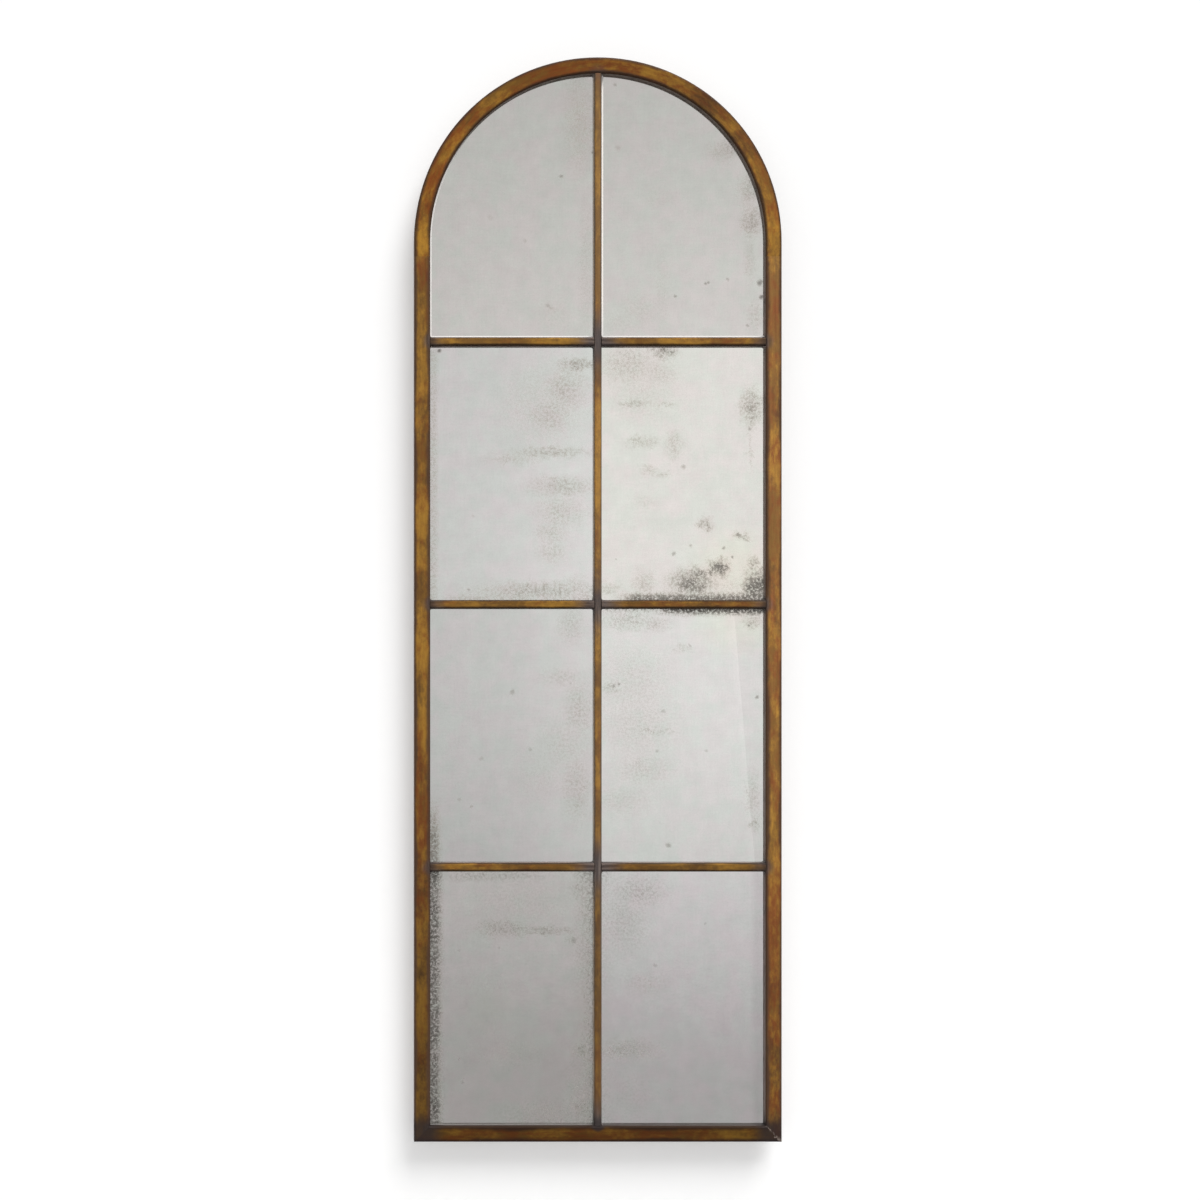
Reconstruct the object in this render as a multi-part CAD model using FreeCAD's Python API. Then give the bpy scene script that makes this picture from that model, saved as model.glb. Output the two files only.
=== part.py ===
import FreeCAD
import Part

import math
import os

from FreeCAD import Placement, Rotation, Vector

# Arched wall mirror: eight antiqued panes in a welded steel frame.
# It faces -Y. The wall plane is y = 0, the bottom edge is z = 0 and x = 0 is at mid width.
# Sizes are in millimetres. A depth is measured from the front face towards the wall.

# Frame of hollow steel section, with a lip that covers the edges of the panes
OVERALL_WIDTH = 706.0
OVERALL_HEIGHT = 2083.0
FRAME_FACE = 31.0
LIP_DEPTH = 14.5
LIP_OVERLAP = 6.0
TUBE_WALL = 1.5
FRONT_EDGE_RADIUS = 4.5
BACK_EDGE_RADIUS = 1.5
ARCH_TAIL = 30.0

# Keys and spigots inside the joints of the frame
KEY_LEG = 60.0
KEY_CLEARANCE = 0.2
SPIGOT_END_GAP = 2.0

# Bars between the panes, and the welds where they meet
MULLION_WIDTH = 14.5
BAR_WIDTH = 17.0
BAR_SETBACK = 1.0
BAR_EDGE_RADIUS = 4.0
TOP_BAR_DROP = 193.0
WELD_RADIUS = 4.0

# Panes, tape and board
GLASS_THICKNESS = 3.0
PANE_GAP = 3.0
PANE_CLEARANCE = 1.0
TAPE_THICKNESS = 1.0
TAPE_WIDTH = 25.0
TAPE_INSET = 40.0
BOARD_THICKNESS = 9.0
BOARD_CLEARANCE = 1.0

# Plates that hold the board in the frame
PLATE_THICKNESS = 1.5
PLATE_WIDTH = 16.0
PLATE_END = 7.0
PLATE_CORNER_RADIUS = 3.0
BOARD_SCREW_INSET = 12.0
FIRST_PLATE_HEIGHT = 260.0
PLATES_BELOW_HANGER = 150.0
BOTTOM_PLATE_OFFSET = 160.0
ARCH_PLATE_ANGLES = (45.0, 90.0, 135.0)
PLATES_PER_STILE = 3

# Pan-head screws
SHANK_RADIUS = 1.75
SCREW_CLEARANCE = 0.1
POINT_LENGTH = 3.0
POINT_RADIUS = 0.4
BOARD_SCREW_COVER = 3.0
HEAD_RADIUS = 3.5
HEAD_HEIGHT = 2.2
HEAD_RIM = 1.0
RECESS_LENGTH = 3.8
RECESS_WIDTH = 0.9
RECESS_DEPTH = 1.2

# Hanger straps and the rings that swing in their eyes
HANGER_DROP = 110.0
STRAP_THICKNESS = 1.2
STRAP_LENGTH = 54.0
STRAP_SIDE_PLAY = 0.5
EYE_MOUTH = 0.95
EYE_CLEARANCE = 0.3
FIRST_STRAP_HOLE = 31.0
STRAP_HOLE_SPACING = 15.0
RING_WIRE_RADIUS = 1.75
RING_INNER_WIDTH = 15.0
RING_CORNER_RADIUS = 3.0
RING_LEG = 4.0

# Rubber bumpers that touch the wall
BUMPER_HEIGHT = 8.0
BUMPER_BASE_RADIUS = 9.0
BUMPER_FACE_RADIUS = 8.0
BUMPER_EDGE_RADIUS = 1.0
BUMPER_RISE = 60.0

ROWS = ("lower", "middle", "upper", "arch")
SIDES = (("left", -1), ("right", 1))

# Places that follow from the sizes above
HALF_WIDTH = OVERALL_WIDTH / 2
SPRING_Z = OVERALL_HEIGHT - HALF_WIDTH
JOINT_Z = SPRING_Z - ARCH_TAIL
BACK_WIDTH = FRAME_FACE - LIP_OVERLAP
PANE_BACK = LIP_DEPTH + GLASS_THICKNESS
BOARD_FRONT = PANE_BACK + TAPE_THICKNESS
FRAME_DEPTH = BOARD_FRONT + BOARD_THICKNESS
BACK_Y = -BUMPER_HEIGHT
FRONT_Y = BACK_Y - FRAME_DEPTH
PANE_INSET = BACK_WIDTH + PANE_CLEARANCE
BOARD_INSET = BACK_WIDTH + BOARD_CLEARANCE
BAR_COUNT = len(ROWS) - 1
ROWS_START = FRAME_FACE - BAR_WIDTH / 2
ROW_PITCH = (SPRING_Z - TOP_BAR_DROP - ROWS_START) / BAR_COUNT
BAR_HEIGHTS = [ROWS_START + ROW_PITCH * (row + 1) for row in range(BAR_COUNT)]
FRAME_HOLE = BACK_WIDTH / 2
BOARD_HOLE = BOARD_INSET + BOARD_SCREW_INSET
SCREW_GRIP = BOARD_THICKNESS - BOARD_SCREW_COVER
HOLE_RADIUS = SHANK_RADIUS + SCREW_CLEARANCE
EYE_RADIUS = RING_WIRE_RADIUS + EYE_CLEARANCE
EYE_OUTER_RADIUS = EYE_RADIUS + STRAP_THICKNESS
EYE_WRAP = 270 + math.degrees(math.asin((EYE_RADIUS - EYE_MOUTH) / EYE_OUTER_RADIUS))
RING_HALF = RING_INNER_WIDTH / 2 + RING_WIRE_RADIUS
RING_STRAIGHT = 2 * (RING_HALF - RING_CORNER_RADIUS)
STRAP_WIDTH = RING_STRAIGHT - 2 * STRAP_SIDE_PLAY
HANGER_Z = JOINT_Z - HANGER_DROP
BEYOND = OVERALL_WIDTH + OVERALL_HEIGHT

WIDE = Vector(1, 0, 0)
DEEP = Vector(0, 1, 0)
HIGH = Vector(0, 0, 1)


def box(x, y, z):
    """A block between two coordinates along each axis."""
    low = Vector(min(x), min(y), min(z))
    return Part.makeBox(max(x) - low.x, max(y) - low.y, max(z) - low.z, low)


def mirrored(shape):
    """The same piece on the other side of the mirror's middle."""
    return shape.mirror(Vector(0, 0, 0), WIDE)


def one_solid(shape):
    """The single solid that a cut or a trim leaves."""
    return shape.Solids[0]


def group(solids):
    """Several alike pieces as one node."""
    return Part.makeCompound(solids)


def rounded_wire(corners, place):
    """A closed outline of right-angled corners, each given as (across, depth, radius)."""
    count = len(corners)
    points = [Vector(across, depth, 0) for across, depth, radius in corners]
    starts = []
    ends = []
    edges = []
    for i, (across, depth, radius) in enumerate(corners):
        before = (points[i - 1] - points[i]).normalize()
        after = (points[(i + 1) % count] - points[i]).normalize()
        starts.append(points[i] + before * radius)
        ends.append(points[i] + after * radius)
        if radius > 0:
            middle = points[i] + (before + after) * radius * (1 - math.sqrt(0.5))
            edges.append(Part.Arc(place(starts[i]), place(middle), place(ends[i])).toShape())
    for i in range(count):
        edges.append(Part.LineSegment(place(ends[i]), place(starts[(i + 1) % count])).toShape())
    return Part.Wire(Part.__sortEdges__(edges))


def frame_section(place):
    """Hollow section of the frame: a tube with a step behind its inner edge that seats the panes."""
    inner_face = FRAME_FACE - TUBE_WALL
    inner_back = BACK_WIDTH - TUBE_WALL
    inner_lip = LIP_DEPTH - TUBE_WALL
    inner_depth = FRAME_DEPTH - TUBE_WALL
    front_radius = max(FRONT_EDGE_RADIUS - TUBE_WALL, 0)
    back_radius = max(BACK_EDGE_RADIUS - TUBE_WALL, 0)
    outside = [
        (0, FRAME_DEPTH, BACK_EDGE_RADIUS),
        (0, 0, FRONT_EDGE_RADIUS),
        (FRAME_FACE, 0, FRONT_EDGE_RADIUS),
        (FRAME_FACE, LIP_DEPTH, 0),
        (BACK_WIDTH, LIP_DEPTH, 0),
        (BACK_WIDTH, FRAME_DEPTH, BACK_EDGE_RADIUS),
    ]
    inside = [
        (TUBE_WALL, inner_depth, back_radius),
        (TUBE_WALL, TUBE_WALL, front_radius),
        (inner_face, TUBE_WALL, front_radius),
        (inner_face, inner_lip, 0),
        (inner_back, inner_lip, 0),
        (inner_back, inner_depth, back_radius),
    ]
    return Part.Face(rounded_wire(outside, place)).cut(Part.Face(rounded_wire(inside, place)))


def upright_section(z):
    """The frame's section across the left stile at a height."""
    return frame_section(lambda at: Vector(at.x - HALF_WIDTH, FRONT_Y + at.y, z))


def arched_plate(inset, front, back):
    """An arched slab whose outline lies inside the frame's outline by an inset."""
    half = HALF_WIDTH - inset
    y = FRONT_Y + front
    low_left = Vector(-half, y, inset)
    low_right = Vector(half, y, inset)
    right = Vector(half, y, SPRING_Z)
    left = Vector(-half, y, SPRING_Z)
    crown = Vector(0, y, SPRING_Z + half)
    edges = [
        Part.LineSegment(low_left, low_right).toShape(),
        Part.LineSegment(low_right, right).toShape(),
        Part.Arc(right, crown, left).toShape(),
        Part.LineSegment(left, low_left).toShape(),
    ]
    return Part.Face(Part.Wire(edges)).extrude(DEEP * (back - front))


def frame_opening():
    """The space inside the frame bars, in front of the panes."""
    return arched_plate(FRAME_FACE, 0, LIP_DEPTH)


def opening_half_width(z):
    """Half the width of the frame's opening at a height."""
    half = HALF_WIDTH - FRAME_FACE
    rise = max(z - SPRING_Z, 0)
    return math.sqrt(half**2 - rise**2)


def mitre_block(above):
    """What a left-hand mitre cuts away, above or below the slanted plane of the bottom corner."""
    reach = 2 * FRAME_FACE
    low = Vector(-HALF_WIDTH - reach, FRONT_Y - reach, -reach)
    high = Vector(-HALF_WIDTH + reach, FRONT_Y - reach, reach)
    if above:
        corner = Vector(low.x, low.y, high.z)
    else:
        corner = Vector(high.x, low.y, low.z)
    return Part.Face(Part.makePolygon([low, high, corner, low])).extrude(DEEP * (FRAME_DEPTH + 2 * reach))


def on_frame(x, z, turn):
    """A place on the outer back edge of the frame, with its own X pointing inwards."""
    return Placement(Vector(x, BACK_Y, z), Rotation(DEEP, turn))


def plate_places():
    """Where the retaining plates lie: up each stile, along the bottom rail and round the arch."""
    places = []
    step = (HANGER_Z - PLATES_BELOW_HANGER - FIRST_PLATE_HEIGHT) / (PLATES_PER_STILE - 1)
    for i in range(PLATES_PER_STILE):
        z = FIRST_PLATE_HEIGHT + step * i
        places.append(on_frame(-HALF_WIDTH, z, 0))
        places.append(on_frame(HALF_WIDTH, z, 180))
    for name, side in SIDES:
        places.append(on_frame(side * BOTTOM_PLATE_OFFSET, 0, -90))
    for angle in ARCH_PLATE_ANGLES:
        x = HALF_WIDTH * math.cos(math.radians(angle))
        z = SPRING_Z + HALF_WIDTH * math.sin(math.radians(angle))
        places.append(on_frame(x, z, 180 - angle))
    return places


def hanger_place(side):
    """The middle of a stile's back, at the height of the eye."""
    return Vector(side * (HALF_WIDTH - BACK_WIDTH / 2), BACK_Y, HANGER_Z)


def strap_holes():
    """How far below the eye the strap's screws lie."""
    return [FIRST_STRAP_HOLE, FIRST_STRAP_HOLE + STRAP_HOLE_SPACING]


def hole(centre, depth):
    """A round screw hole that goes from a point on a back face a given depth towards the front."""
    return Part.makeCylinder(HOLE_RADIUS, depth, centre, -DEEP)


def frame_holes():
    """Holes for the plates' and straps' screws in the back wall of the frame."""
    centres = [place.multVec(Vector(FRAME_HOLE, 0, 0)) for place in plate_places()]
    for name, side in SIDES:
        centres += [hanger_place(side) - HIGH * drop for drop in strap_holes()]
    return group([hole(centre, TUBE_WALL) for centre in centres])


def left_stile():
    bar = upright_section(0).extrude(HIGH * JOINT_Z)
    return one_solid(bar.cut(mitre_block(above=False)).cut(frame_holes()))


def right_stile():
    return one_solid(mirrored(left_stile()))


def bottom_rail():
    section = frame_section(lambda at: Vector(-HALF_WIDTH, FRONT_Y + at.y, at.x))
    corner = mitre_block(above=True)
    bar = section.extrude(WIDE * OVERALL_WIDTH)
    return one_solid(bar.cut(corner).cut(mirrored(corner)).cut(frame_holes()))


def arch_head():
    bend = upright_section(SPRING_Z).revolve(Vector(0, 0, SPRING_Z), DEEP, 180)
    tail = upright_section(JOINT_Z).extrude(HIGH * ARCH_TAIL)
    whole = bend.fuse([tail, mirrored(tail)]).removeSplitter()
    return one_solid(whole.cut(frame_holes()))


def chamber():
    """Limits of the room behind the panes' seat inside the hollow section, across and in Y."""
    margin = TUBE_WALL + KEY_CLEARANCE
    return (margin, BACK_WIDTH - margin), (FRONT_Y + LIP_DEPTH, BACK_Y - margin)


def corner_keys():
    """An angle inside each bottom corner, one leg in the stile and one in the rail."""
    (near, far), y = chamber()
    upright = box((near - HALF_WIDTH, far - HALF_WIDTH), y, (near, KEY_LEG))
    level = box((near - HALF_WIDTH, KEY_LEG - HALF_WIDTH), y, (near, far))
    key = one_solid(upright.fuse(level).removeSplitter())
    return group([key, one_solid(mirrored(key))])


def arch_spigots():
    """A block inside each joint of arch and stile."""
    (near, far), y = chamber()
    reach = ARCH_TAIL - SPIGOT_END_GAP
    spigot = box((near - HALF_WIDTH, far - HALF_WIDTH), y, (JOINT_Z - reach, JOINT_Z + reach))
    return group([spigot, one_solid(mirrored(spigot))])


def bar_section(width, place):
    """Section of a bar between panes: flat back and sides, rounded front edges."""
    half = width / 2
    corners = [
        (-half, LIP_DEPTH, 0),
        (-half, BAR_SETBACK, BAR_EDGE_RADIUS),
        (half, BAR_SETBACK, BAR_EDGE_RADIUS),
        (half, LIP_DEPTH, 0),
    ]
    return Part.Face(rounded_wire(corners, place))


def centre_mullion():
    section = bar_section(MULLION_WIDTH, lambda at: Vector(at.x, FRONT_Y + at.y, 0))
    return one_solid(section.extrude(HIGH * BEYOND).common(frame_opening()))


def muntin(row, side):
    start = side * MULLION_WIDTH / 2
    section = bar_section(BAR_WIDTH, lambda at: Vector(start, FRONT_Y + at.y, BAR_HEIGHTS[row] + at.x))
    return one_solid(section.extrude(WIDE * side * BEYOND).common(frame_opening()))


def weld(x, z, right, up, past_wall=0, past_top=0):
    """A hollow fillet in the corner at (x, z) that opens to the right or left and up or down."""
    front = FRONT_Y + BAR_SETBACK + BAR_EDGE_RADIUS
    back = FRONT_Y + LIP_DEPTH
    centre = Vector(x + right * WELD_RADIUS, front, z + up * WELD_RADIUS)
    block = box((x - right * past_wall, centre.x), (front, back), (z - up * past_top, centre.z))
    return block.cut(Part.makeCylinder(WELD_RADIUS, back - front, centre, DEEP))


def weld_fillets():
    """Fillets at the crossings, where the bars meet the frame and at both ends of the mullion."""
    side_of_mullion = MULLION_WIDTH / 2
    crown = SPRING_Z + opening_half_width(SPRING_Z)
    welds = []
    for right in (-1, 1):
        for z in BAR_HEIGHTS:
            for up in (-1, 1):
                edge = z + up * BAR_WIDTH / 2
                welds.append(weld(right * side_of_mullion, edge, right, up))
                wall = right * opening_half_width(edge)
                welds.append(weld(wall, edge, -right, up, past_wall=WELD_RADIUS))
        welds.append(weld(right * side_of_mullion, FRAME_FACE, right, 1))
        welds.append(weld(right * side_of_mullion, crown, right, -1, past_top=WELD_RADIUS))
    return group([one_solid(piece.common(frame_opening())) for piece in welds])


def row_limits(row):
    """Lowest and highest coordinate of a row of panes, before the frame's outline trims it."""
    low = BAR_HEIGHTS[row - 1] + PANE_GAP / 2 if row > 0 else PANE_INSET
    high = BAR_HEIGHTS[row] - PANE_GAP / 2 if row < len(BAR_HEIGHTS) else BEYOND
    return low, high


def pane(row, side):
    cell = box((side * PANE_GAP / 2, side * BEYOND), (FRONT_Y, BACK_Y), row_limits(row))
    return one_solid(arched_plate(PANE_INSET, LIP_DEPTH, PANE_BACK).common(cell))


def mounting_tape():
    """Two upright strips of foam tape behind every pane."""
    trim = arched_plate(PANE_INSET + TAPE_INSET, PANE_BACK, BOARD_FRONT)
    by_mullion = PANE_GAP / 2 + TAPE_INSET
    by_stile = HALF_WIDTH - PANE_INSET - TAPE_INSET - TAPE_WIDTH
    strips = []
    for row in range(len(ROWS)):
        low, high = row_limits(row)
        for name, side in SIDES:
            for start in (by_mullion, by_stile):
                x = (side * start, side * (start + TAPE_WIDTH))
                strip = box(x, (FRONT_Y, BACK_Y), (low + TAPE_INSET, high - TAPE_INSET))
                strips.append(one_solid(strip.common(trim)))
    return group(strips)


def backing_board():
    """Arched board that fills the back of the frame, with pilot holes for the plates' screws."""
    holes = [hole(place.multVec(Vector(BOARD_HOLE, 0, 0)), SCREW_GRIP) for place in plate_places()]
    return one_solid(arched_plate(BOARD_INSET, BOARD_FRONT, FRAME_DEPTH).cut(group(holes)))


def retaining_plate():
    """A flat plate that bridges from the frame's back to the board, with a hole over each."""
    start = FRAME_HOLE - PLATE_END
    end = BOARD_HOLE + PLATE_END
    half = PLATE_WIDTH / 2
    corners = [(start, -half), (end, -half), (end, half), (start, half)]
    rounded = [(along, across, PLATE_CORNER_RADIUS) for along, across in corners]
    outline = rounded_wire(rounded, lambda at: Vector(at.x, 0, at.y))
    slab = Part.Face(outline).extrude(DEEP * PLATE_THICKNESS)
    for along in (FRAME_HOLE, BOARD_HOLE):
        slab = slab.cut(hole(Vector(along, PLATE_THICKNESS, 0), PLATE_THICKNESS))
    return one_solid(slab)


def placed(shape, place):
    copy = shape.copy()
    copy.Placement = place.multiply(copy.Placement)
    return copy


def retaining_plates():
    return group([placed(retaining_plate(), place) for place in plate_places()])


def screw(length):
    """A pan-head screw with a cross recess. Its head sits on y = 0 and its point is towards the front."""
    crown = HEAD_HEIGHT - HEAD_RIM
    slant = crown * math.sqrt(0.5)
    flat_radius = HEAD_RADIUS - crown
    rim = Vector(HEAD_RADIUS, HEAD_RIM, 0)
    top = Vector(flat_radius, HEAD_HEIGHT, 0)
    between = Vector(flat_radius + slant, HEAD_RIM + slant, 0)
    outline = [
        top,
        Vector(0, HEAD_HEIGHT, 0),
        Vector(0, -length, 0),
        Vector(POINT_RADIUS, -length, 0),
        Vector(SHANK_RADIUS, POINT_LENGTH - length, 0),
        Vector(SHANK_RADIUS, 0, 0),
        Vector(HEAD_RADIUS, 0, 0),
        rim,
    ]
    edges = [Part.LineSegment(a, b).toShape() for a, b in zip(outline, outline[1:])]
    edges.append(Part.Arc(rim, between, top).toShape())
    body = Part.Face(Part.Wire(edges)).revolve(Vector(0, 0, 0), DEEP, 360)
    long = (-RECESS_LENGTH / 2, RECESS_LENGTH / 2)
    narrow = (-RECESS_WIDTH / 2, RECESS_WIDTH / 2)
    deep = (HEAD_HEIGHT - RECESS_DEPTH, HEAD_HEIGHT)
    return one_solid(body.cut(box(long, deep, narrow).fuse(box(narrow, deep, long))))


def plate_screws():
    """Two screws for every retaining plate, one in the frame and one in the board."""
    piece = screw(PLATE_THICKNESS + SCREW_GRIP)
    screws = []
    for place in plate_places():
        for along in (FRAME_HOLE, BOARD_HOLE):
            seat = place.multVec(Vector(along, PLATE_THICKNESS, 0))
            screws.append(placed(piece, Placement(seat, place.Rotation)))
    return group(screws)


def hanger_strap(side):
    """A strap along the stile whose upper end is rolled into an eye."""
    start = hanger_place(side) - WIDE * STRAP_WIDTH / 2
    centre = start + DEEP * EYE_OUTER_RADIUS

    def on_eye(radius, turned):
        angle = math.radians(180 - turned)
        return centre + DEEP * radius * math.cos(angle) + HIGH * radius * math.sin(angle)

    foot = start - HIGH * STRAP_LENGTH
    inner_foot = foot + DEEP * STRAP_THICKNESS
    outside = [on_eye(EYE_OUTER_RADIUS, EYE_WRAP * share) for share in (0, 0.5, 1)]
    inside = [on_eye(EYE_RADIUS, EYE_WRAP * share) for share in (1, 0.5, 0)]
    edges = [
        Part.LineSegment(foot, outside[0]).toShape(),
        Part.Arc(*outside).toShape(),
        Part.LineSegment(outside[2], inside[0]).toShape(),
        Part.Arc(*inside).toShape(),
        Part.LineSegment(inside[2], inner_foot).toShape(),
        Part.LineSegment(inner_foot, foot).toShape(),
    ]
    strap = Part.Face(Part.Wire(edges)).extrude(WIDE * STRAP_WIDTH)
    round_end = foot + WIDE * STRAP_WIDTH / 2 + HIGH * STRAP_WIDTH / 2
    square = box((foot.x, foot.x + STRAP_WIDTH), (BACK_Y, inner_foot.y), (foot.z, round_end.z))
    strap = strap.cut(square.cut(Part.makeCylinder(STRAP_WIDTH / 2, STRAP_THICKNESS, round_end, DEEP)))
    for drop in strap_holes():
        seat = hanger_place(side) - HIGH * drop + DEEP * STRAP_THICKNESS
        strap = strap.cut(hole(seat, STRAP_THICKNESS))
    return one_solid(strap)


def hanger_screws():
    """Two screws for each strap."""
    piece = screw(STRAP_THICKNESS + SCREW_GRIP)
    screws = []
    for name, side in SIDES:
        for drop in strap_holes():
            seat = hanger_place(side) - HIGH * drop + DEEP * STRAP_THICKNESS
            screws.append(placed(piece, Placement(seat, Rotation())))
    return group(screws)


def hang_ring(side):
    """A D-shaped ring of round wire. Its straight side lies in the eye and its bow hangs down."""
    eye = hanger_place(side) + DEEP * EYE_OUTER_RADIUS
    shoulder = eye + WIDE * (RING_HALF - RING_CORNER_RADIUS)
    turn_centre = shoulder - HIGH * RING_CORNER_RADIUS
    hip = turn_centre + WIDE * RING_CORNER_RADIUS
    ankle = hip - HIGH * RING_LEG
    bow_centre = ankle - WIDE * RING_HALF

    def disc(centre, normal):
        return Part.Face(Part.Wire(Part.makeCircle(RING_WIRE_RADIUS, centre, normal)))

    straight = disc(shoulder, WIDE).extrude(-WIDE * RING_STRAIGHT)
    corner = disc(shoulder, WIDE).revolve(turn_centre, DEEP, 90)
    leg = disc(hip, HIGH).extrude(-HIGH * RING_LEG)
    bow = disc(ankle, HIGH).revolve(bow_centre, DEEP, 180)
    far_corner = corner.mirror(eye, WIDE)
    far_leg = leg.mirror(eye, WIDE)
    return one_solid(straight.fuse([corner, leg, bow, far_corner, far_leg]).removeSplitter())


def wall_bumpers():
    """A tapered rubber button near the lower end of each stile."""
    bumpers = []
    for name, side in SIDES:
        base = Vector(hanger_place(side).x, BACK_Y, BUMPER_RISE)
        cone = Part.makeCone(BUMPER_BASE_RADIUS, BUMPER_FACE_RADIUS, BUMPER_HEIGHT, base, DEEP)
        rim = [edge for edge in cone.Edges if edge.BoundBox.YMin > -BUMPER_HEIGHT / 2]
        bumpers.append(one_solid(cone.makeFillet(BUMPER_EDGE_RADIUS, rim)))
    return group(bumpers)


def pieces():
    """Every node of the mirror by name."""
    nodes = {
        "left_stile": left_stile(),
        "right_stile": right_stile(),
        "bottom_rail": bottom_rail(),
        "arch_head": arch_head(),
        "corner_keys": corner_keys(),
        "arch_spigots": arch_spigots(),
        "centre_mullion": centre_mullion(),
        "weld_fillets": weld_fillets(),
        "mounting_tape": mounting_tape(),
        "backing_board": backing_board(),
        "retaining_plates": retaining_plates(),
        "plate_screws": plate_screws(),
        "hanger_screws": hanger_screws(),
        "wall_bumpers": wall_bumpers(),
    }
    for name, side in SIDES:
        for row, level in enumerate(ROWS):
            nodes[f"pane_{level}_{name}"] = pane(row, side)
        for row, z in enumerate(BAR_HEIGHTS):
            nodes[f"muntin_{ROWS[row]}_{name}"] = muntin(row, side)
        nodes[f"hanger_strap_{name}"] = hanger_strap(side)
        nodes[f"hang_ring_{name}"] = hang_ring(side)
    return nodes


os.makedirs("parts", exist_ok=True)
for node, shape in pieces().items():
    shape.exportStep(f"parts/{node}.step")
    print(f"{node}: {len(shape.Solids)} solids, {shape.Volume / 1000:.1f} cm3, valid {shape.isValid()}")
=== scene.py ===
import math

import bpy
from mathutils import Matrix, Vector


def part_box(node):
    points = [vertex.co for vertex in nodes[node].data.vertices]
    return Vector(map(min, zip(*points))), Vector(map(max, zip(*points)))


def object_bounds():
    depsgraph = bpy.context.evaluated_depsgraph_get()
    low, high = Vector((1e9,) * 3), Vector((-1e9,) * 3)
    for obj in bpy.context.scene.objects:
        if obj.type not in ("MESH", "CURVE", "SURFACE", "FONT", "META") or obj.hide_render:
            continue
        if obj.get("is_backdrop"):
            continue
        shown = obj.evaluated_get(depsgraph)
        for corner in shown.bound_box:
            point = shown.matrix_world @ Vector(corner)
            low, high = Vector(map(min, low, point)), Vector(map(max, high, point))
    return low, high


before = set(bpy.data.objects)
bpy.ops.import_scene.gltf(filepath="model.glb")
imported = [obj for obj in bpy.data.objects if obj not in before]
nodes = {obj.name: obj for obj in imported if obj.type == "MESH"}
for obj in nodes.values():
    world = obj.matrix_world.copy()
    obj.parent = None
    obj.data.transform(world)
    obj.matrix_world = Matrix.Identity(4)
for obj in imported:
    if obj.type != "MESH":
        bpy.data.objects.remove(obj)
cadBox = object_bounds()
print("frame loaded:", len(nodes), "nodes")


def tint(red, green, blue):  # a colour judged on a 0-255 scale, as linear light
    levels = [level / 255 for level in (red, green, blue)]
    return tuple(v / 12.92 if v <= 0.04045 else ((v + 0.055) / 1.055) ** 2.4 for v in levels) + (1.0,)


def sumOf(operation, swapped=False):
    def apply(self, other):
        pair = (other, self) if swapped else (self, other)
        return self.tree.add("Math", {"operation": operation}, dict(enumerate(pair)))
    return apply


class Value:  # a socket that takes part in plain sums
    def __init__(self, tree, node, socket):
        self.tree = tree
        self.node = node
        self.socket = socket

    __add__ = sumOf("ADD")
    __radd__ = sumOf("ADD", True)
    __sub__ = sumOf("SUBTRACT")
    __rsub__ = sumOf("SUBTRACT", True)
    __mul__ = sumOf("MULTIPLY")
    __rmul__ = sumOf("MULTIPLY", True)
    __truediv__ = sumOf("DIVIDE")
    __rtruediv__ = sumOf("DIVIDE", True)
    __or__ = sumOf("MAXIMUM")  # the stronger of two masks

    def __abs__(self):
        return self.tree.add("Math", {"operation": "ABSOLUTE"}, {0: self})

    def __iter__(self):  # all outputs of the node, such as x, y and z
        return iter([Value(self.tree, self.node, socket) for socket in self.node.outputs])

    def between(self, low, high, top=1.0):  # soft step from 0 to top
        sockets = {"Value": self, "From Min": low, "From Max": high, "To Max": top}
        return self.tree.add("MapRange", {"interpolation_type": "SMOOTHSTEP"}, sockets)

    def folded(self, half):  # distance to the nearest of evenly spaced places
        return self.tree.add("Math", {"operation": "PINGPONG"}, {0: self, 1: half})


class Tree:
    def __init__(self, nodeTree):
        self.nodeTree = nodeTree
        nodeTree.nodes.clear()

    def add(self, kind, settings, sockets, out=0):
        node = self.nodeTree.nodes.new("ShaderNode" + kind)
        for key, value in settings.items():  # first, because some settings change the sockets
            setattr(node, key, value)
        for key, value in sockets.items():
            if isinstance(value, Value):
                self.nodeTree.links.new(value.socket, node.inputs[key])
            else:
                node.inputs[key].default_value = value
        return Value(self, node, node.outputs[out]) if node.outputs else None

    def noise(self, at, scale, detail=3.0, rough=0.55):
        sockets = {"Vector": at, "Scale": scale, "Detail": detail, "Roughness": rough}
        return self.add("TexNoise", {}, sockets)

    def mix(self, first, second, share, blend="MIX"):
        return self.add("Mix", {"data_type": "RGBA", "blend_type": blend}, {0: share, 6: first, 7: second}, 2)

    def vector(self, operation, *inputs, out=0):
        return self.add("VectorMath", {"operation": operation}, dict(enumerate(inputs)), out)

    def scaled(self, colour, amount):
        return self.add("VectorMath", {"operation": "SCALE"}, {0: colour, "Scale": amount})

    def point(self, x, y, z):
        return self.add("CombineXYZ", {}, {0: x, 1: y, 2: z})


class Finish(Tree):  # one material, in metres on the mirror
    def __init__(self, name):
        self.material = bpy.data.materials.new(name)
        self.material.use_nodes = True
        super().__init__(self.material.node_tree)
        self.at = self.add("TexCoord", {}, {}, "Object")

    def close(self, sockets, relief, height):
        sockets["Normal"] = self.add("Bump", {}, {"Height": relief, "Distance": height})
        shader = self.add("BsdfPrincipled", {}, sockets)
        self.add("OutputMaterial", {}, {0: shader})
        return self.material


def dress(material, *names):
    for name in names:
        mesh = nodes[name].data
        mesh.materials.clear()
        mesh.materials.append(material)


sides = ("left", "right")
levels = ("lower", "middle", "upper", "arch")


def middleOf(name):
    low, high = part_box(name)
    return (low + high) / 2, high - low


mm = 1000  # millimetres in a metre

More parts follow.
